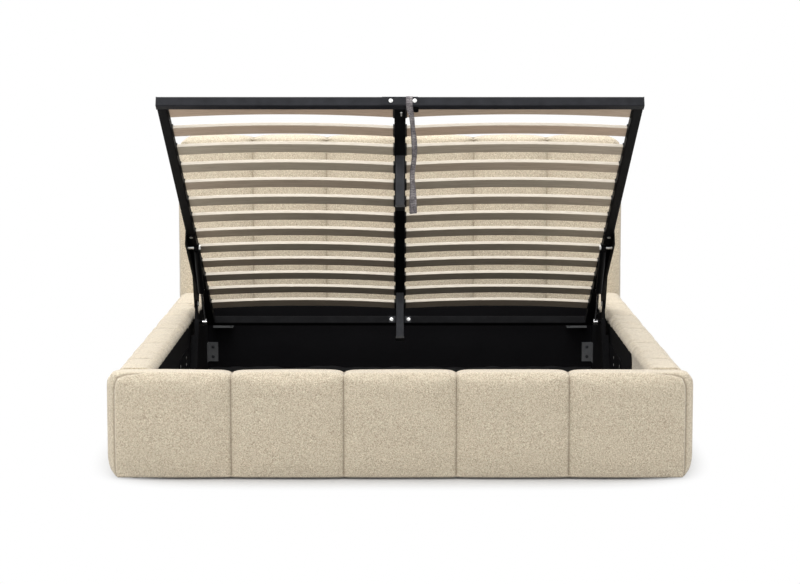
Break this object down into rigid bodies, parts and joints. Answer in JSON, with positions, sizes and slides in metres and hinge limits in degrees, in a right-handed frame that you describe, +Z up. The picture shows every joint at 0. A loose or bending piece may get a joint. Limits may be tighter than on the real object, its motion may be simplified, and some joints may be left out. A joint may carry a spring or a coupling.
{
  "type": "ottoman storage bed",
  "caption": "Ottoman storage bed: channelled padded base and headboard, slatted platform that lifts at the foot on pivoting links and gas struts.",
  "frame": {"origin": "on the floor, under the middle of the bed's length and width", "axes": "+X across the bed to the right seen from the foot, +Y from the foot to the headboard, +Z up"},
  "size_m": [1.7664, 2.262, 1.1596],
  "materials": {
    "boucle": "looped wool-like cloth",
    "covered_board": "board wrapped in beige-grey lining cloth",
    "black_board": "matt black",
    "back_cloth": "black non-woven cloth",
    "floor_board": "hardboard",
    "black_cloth": "black non-woven cloth",
    "black_plastic": "moulded",
    "black_rubber": "matt",
    "black_steel": "black powder coat",
    "grey_steel": "dark grey powder coat",
    "zinc_steel": "bright zinc",
    "slat_wood": "lacquered birch",
    "strap_webbing": "woven webbing",
    "polished_rod": "polished"
  },
  "bodies": {
    "base": {"foot_panel_board": "covered_board", "foot_panel_pad": "boucle", "left_rail_board": "covered_board", "right_rail_board": "covered_board", "left_rail_pad": "boucle", "right_rail_pad": "boucle", "left_liner": "black_board", "right_liner": "black_board", "head_inner_board": "black_board", "headboard_board": "covered_board", "headboard_pad": "boucle", "headboard_back_panel": "back_cloth", "floor_battens": "floor_board", "centre_beam": "floor_board", "left_floor_panel": "floor_board", "right_floor_panel": "floor_board", "storage_cloth": "black_cloth", "floor_glides": "black_plastic", "head_corner_plates": "grey_steel", "foot_corner_plates": "grey_steel", "corner_screws": "zinc_steel", "left_rest_bracket": "grey_steel", "right_rest_bracket": "grey_steel", "rest_pads": "black_rubber", "left_base_plate": "black_steel", "right_base_plate": "black_steel", "base_plate_screws": "zinc_steel", "base_pivot_pins": "zinc_steel"},
    "platform": {"left_side_tube": "black_steel", "right_side_tube": "black_steel", "left_foot_bar": "black_steel", "right_foot_bar": "black_steel", "left_head_bar": "black_steel", "right_head_bar": "black_steel", "centre_rail": "black_steel", "joint_plates": "black_steel", "strap_stop": "black_steel", "tube_plugs": "black_plastic", "left_slats": "slat_wood", "right_slats": "slat_wood", "left_slat_holders": "black_plastic", "right_slat_holders": "black_plastic", "centre_slat_holders": "black_plastic", "centre_legs": "black_steel", "leg_caps": "black_plastic", "left_platform_arm": "black_steel", "right_platform_arm": "black_steel", "platform_pivot_pins": "zinc_steel", "strut_cross_pins": "zinc_steel", "frame_bolts": "zinc_steel", "pull_strap": "strap_webbing"},
    "rear_links": {"left_rear_link": "black_steel", "right_rear_link": "black_steel"},
    "front_links": {"left_front_link": "black_steel", "right_front_link": "black_steel"},
    "strut_cylinders": {"left_strut_cylinder": "black_steel", "right_strut_cylinder": "black_steel"},
    "strut_rods": {"left_strut_rod": "polished_rod", "right_strut_rod": "polished_rod"}
  },
  "joints": [
    {"name": "rear_link_swing", "type": "hinge", "parent": "base", "child": "rear_links", "pos_m": [0, 0.326, 0.207], "axis": [1, 0, 0], "range_deg": [-68.86, 0.01]},
    {"name": "platform_tilt", "type": "hinge", "parent": "rear_links", "child": "platform", "pos_m": [0, 0.41324, 0.40228], "axis": [1, 0, 0], "range_deg": [0, 96.05], "stiffness_Nm_per_rad": 25, "springref_deg": -171.89, "deforming": ["pull_strap"]},
    {"name": "front_link_swing", "type": "hinge", "parent": "base", "child": "front_links", "pos_m": [0, 0.1291, 0.0858], "axis": [1, 0, 0], "range_deg": [-52.44, 0.01]},
    {"name": "strut_pivot", "type": "hinge", "parent": "platform", "child": "strut_cylinders", "pos_m": [0, 0.0193, 0.59967], "axis": [1, 0, 0], "range_deg": [-4.56, 0.01]},
    {"name": "strut_slide", "type": "slide", "parent": "strut_cylinders", "child": "strut_rods", "axis": [0, 0.71, -0.7042], "range_m": [-0.0846, 0.0001]}
  ],
  "couplings": [
    {"joint": "rear_link_swing", "follows": "platform_tilt", "ratio": -0.71681},
    {"joint": "front_link_swing", "follows": "platform_tilt", "ratio": -0.54582},
    {"joint": "strut_pivot", "follows": "platform_tilt", "ratio": -0.04729},
    {"joint": "strut_slide", "follows": "platform_tilt", "m_per_rad": -0.050431}
  ]
}
